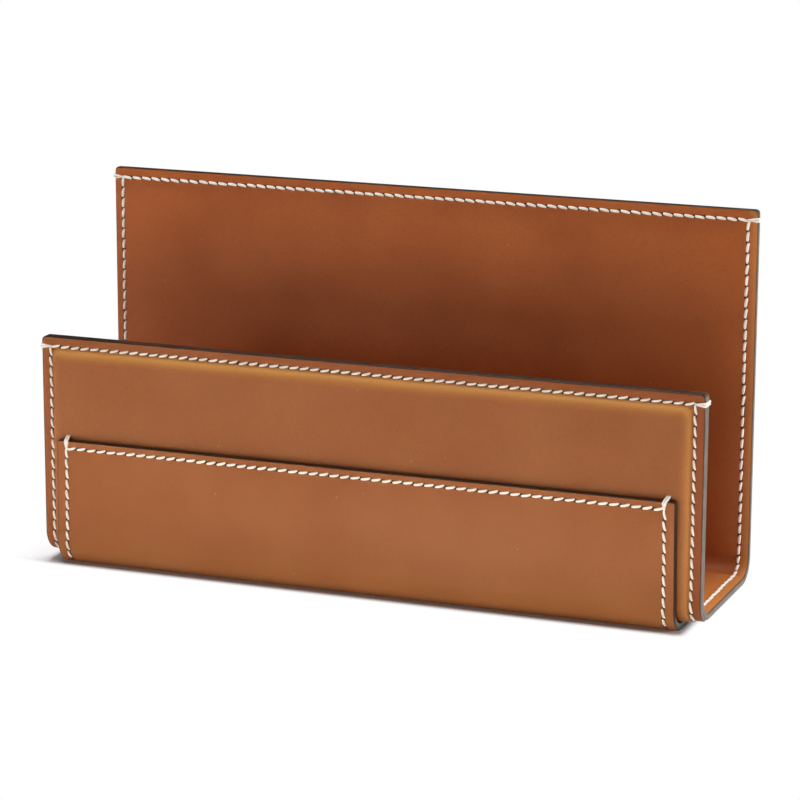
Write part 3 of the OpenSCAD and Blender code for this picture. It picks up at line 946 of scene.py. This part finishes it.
tubes = []
gap = panelLow.y - pocketLow.y
backwards = math.degrees(math.atan2(gap, tack["rise"]))
slope = math.radians(90 - backwards)
reach = gap / math.cos(slope)
for side in (-1, 1):
    for row in (-0.5, 0.5):
        start = Vector((side * pocketHole + row * tack["spacing"], pocketLow.y + tack["depth"], pocketSeam))
        climb = pocket["topInset"] + tack["lift"] - tack["turn"] - tack["pocketTurn"]
        moves = [
            ((0, tack["turn"] - tack["lift"] - tack["depth"], 0), 0),
            ((0, 0, tack["turn"]), -90),
            ((0, 0, climb), 0),
            ((0, tack["pocketTurn"], 0), -backwards),
            ((0, reach * math.cos(slope), reach * math.sin(slope)), 0),
        ]
        tubes.append(modelTack(start, Vector((0, -1, 0)), moves, "X"))
pocketTacks = joinTacks("pocketCornerTacks", tubes)
bpy.ops.object.mode_set(mode="EDIT")
for side in (-1, 1):
    pick("verts", lambda v: v.co.x * side > 0 and v.co.z < pocketSeam + tack["pocketPinch"])
    bpy.ops.transform.resize(value=(tack["pinch"], 1, 1), center_override=(side * pocketHole, 0, 0))
    pick("verts", lambda v: v.co.x * side > 0 and v.co.z > pocketTop - tack["edgeReach"])
    bpy.ops.transform.translate(value=(side * tack["splayEdge"] * tack["splay"], 0, 0))
    pick("verts", lambda v: v.co.x * side > 0 and v.co.y > panelLow.y - tack["panelReach"])
    bpy.ops.transform.translate(value=(side * (1 - tack["splayEdge"]) * tack["splay"], 0, 0))
bpy.ops.object.mode_set(mode="OBJECT")
settle(pocketTacks, "waxed_thread", "pocket_corner_wraps")
print("tacks tied")

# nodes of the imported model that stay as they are

keptNodes = {
    "channel_core": plateSteel,
    "front_filler": fawnBoard,
    "left_edge_strip": reflectingEndPaint,
    "right_edge_strip": reflectingEndPaint,
    "back_top_strip": paintedEdge,
    "front_top_strip": paintedEdge,
}
for node, material in keptNodes.items():
    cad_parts[node].data.materials.clear()
    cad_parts[node].data.materials.append(material)

# table top, lights and camera

table = {
    "size": 12.0,
    "place": (0, 2, 0),
    "white": "#fafafa",
    "fadeFront": 5 * mm,       # the glow starts this far behind the pocket's face and is full at the face
    "fadeBack": 30 * mm,       # on the other sides it is full this far beyond the pocket's sheet
    "fadeLeft": 27 * mm,
    "fadeRight": 4 * mm,
}
bpy.ops.object.select_all(action="DESELECT")
bpy.ops.mesh.primitive_plane_add(size=table["size"], location=table["place"])
bpy.ops.object.transform_apply(location=True)
tableTop = bpy.context.object
tableTop.name = "tableTop"
# matt seamless paper that shows white, with the contact shadow
white, tree, paper = newMaterial("whitePaperSweep")
paper.inputs["Base Color"].default_value = toLinear(table["white"])
paper.inputs["Roughness"].default_value = 0.9
paper.inputs["Specular IOR Level"].default_value = 0
place = addNode(tree, "ShaderNodeTexCoord").outputs["Object"]
spot = addNode(tree, "ShaderNodeSeparateXYZ", {0: place})


# 0 where the glow starts and 1 where it is full; a negative fade looks to the low side
def beyond(axis, edge, fade):
    gap = addNode(tree, "ShaderNodeMath", {0: spot.outputs[axis], 1: edge}, operation="SUBTRACT")
    return addNode(tree, "ShaderNodeMath", {0: gap.outputs[0], 1: 1 / fade}, operation="MULTIPLY").outputs[0]


squares = []
glowStart = pocketLow.y + table["fadeFront"]
for lowSide, highSide in (
    (beyond("X", -pocketHalf, -table["fadeLeft"]), beyond("X", pocketHalf, table["fadeRight"])),
    (beyond("Y", glowStart, -table["fadeFront"]), beyond("Y", pocketHigh.y, table["fadeBack"])),
):
    farther = addNode(tree, "ShaderNodeMath", {0: lowSide, 1: highSide}, operation="MAXIMUM")
    out = addNode(tree, "ShaderNodeMath", {0: farther.outputs[0], 1: 0.0}, operation="MAXIMUM")
    squares.append(addNode(tree, "ShaderNodeMath", {0: out.outputs[0], 1: 2.0}, operation="POWER").outputs[0])
total = addNode(tree, "ShaderNodeMath", {0: squares[0], 1: squares[1]}, operation="ADD")
away = addNode(tree, "ShaderNodeMath", {0: total.outputs[0]}, operation="SQRT")
fade = addNode(tree, "ShaderNodeMapRange", {"Value": away.outputs[0]}, interpolation_type="SMOOTHSTEP")
rays = addNode(tree, "ShaderNodeLightPath")
seen = addNode(tree, "ShaderNodeMath", {0: rays.outputs["Is Camera Ray"], 1: rays.outputs["Is Glossy Ray"]},
               operation="MAXIMUM")
seen = addNode(tree, "ShaderNodeMath", {0: seen.outputs[0], 1: rays.outputs["Is Transmission Ray"]},
               operation="MAXIMUM")
shown = addNode(tree, "ShaderNodeMath", {0: fade.outputs["Result"], 1: seen.outputs[0]}, operation="MULTIPLY")
glow = addNode(tree, "ShaderNodeEmission", {"Color": (1, 1, 1, 1), "Strength": 1.0})
blend = addNode(tree, "ShaderNodeMixShader", {0: shown.outputs[0], 1: paper.outputs[0], 2: glow.outputs[0]})
tree.links.new(blend.outputs[0], tree.nodes["Material Output"].inputs["Surface"])
tableTop.data.materials.append(white)

scene = bpy.context.scene
scene.view_settings.view_transform = "Standard"
room = {"colour": "#ffffff", "strength": 0.03}
world = bpy.data.worlds.new("softRoom")
scene.world = world
world.use_nodes = True
world.node_tree.nodes["Background"].inputs["Color"].default_value = toLinear(room["colour"])
world.node_tree.nodes["Background"].inputs["Strength"].default_value = room["strength"]

middleOfHolder = (0, 0, 0.06)
softboxes = {
    "overheadSoftbox": {"place": (0, 0.25, 1.6), "size": (1.2, 1.2), "power": 32, "spread": 180,
                        "aim": middleOfHolder},
    "tableGrid": {"place": (-0.3, -0.45, 0.45), "size": (1.2, 0.66), "power": 4.3, "spread": 22,
                  "aim": (-0.3, -0.45, 0)},
    "footGrid": {"place": (-0.05, -1.0, 0.025), "size": (0.8, 0.04), "power": 0.045, "spread": 6,
                 "aim": (0, 0, 0.02)},
    "leftSoftbox": {"place": (-0.9, -1.5, 0.3), "size": (0.8, 0.5), "power": 5.2, "spread": 180,
                    "aim": middleOfHolder},
    "rightSoftbox": {"place": (1.5, 0.2, 0.33), "size": (0.4, 0.4), "power": 12, "spread": 180,
                     "aim": middleOfHolder},
}
for name, softbox in softboxes.items():
    lamp = bpy.data.objects.new(name, bpy.data.lights.new(name, "AREA"))
    lamp.data.shape = "RECTANGLE"
    lamp.data.size, lamp.data.size_y = softbox["size"]
    lamp.data.energy = softbox["power"]
    lamp.data.spread = math.radians(softbox["spread"])
    lamp.location = softbox["place"]
    lamp.rotation_euler = (Vector(softbox["aim"]) - lamp.location).to_track_quat("-Z", "Y").to_euler()
    scene.collection.objects.link(lamp)

view = {
    "target": (5.25 * mm, -5.0 * mm, 67.79 * mm),
    "azimuth": 21.17,
    "elevation": 13.39,
    "roll": 0.2,
    "distance": 1170.5 * mm,
    "lens": 145.06,
    "sensor": 36,
}
camera = bpy.data.objects.new("photoCamera", bpy.data.cameras.new("photoCamera"))
scene.collection.objects.link(camera)
camera.data.lens = view["lens"]
camera.data.sensor_width = view["sensor"]
azimuth, elevation = math.radians(view["azimuth"]), math.radians(view["elevation"])
back = Vector((math.sin(azimuth) * math.cos(elevation), -math.cos(azimuth) * math.cos(elevation),
               math.sin(elevation)))
camera.location = Vector(view["target"]) + back * view["distance"]
camera.rotation_mode = "QUATERNION"
camera.rotation_quaternion = ((-back).to_track_quat("-Z", "Y")
                              @ Quaternion((0, 0, 1), math.radians(view["roll"])))
scene.camera = camera
print("table, lights and camera set")
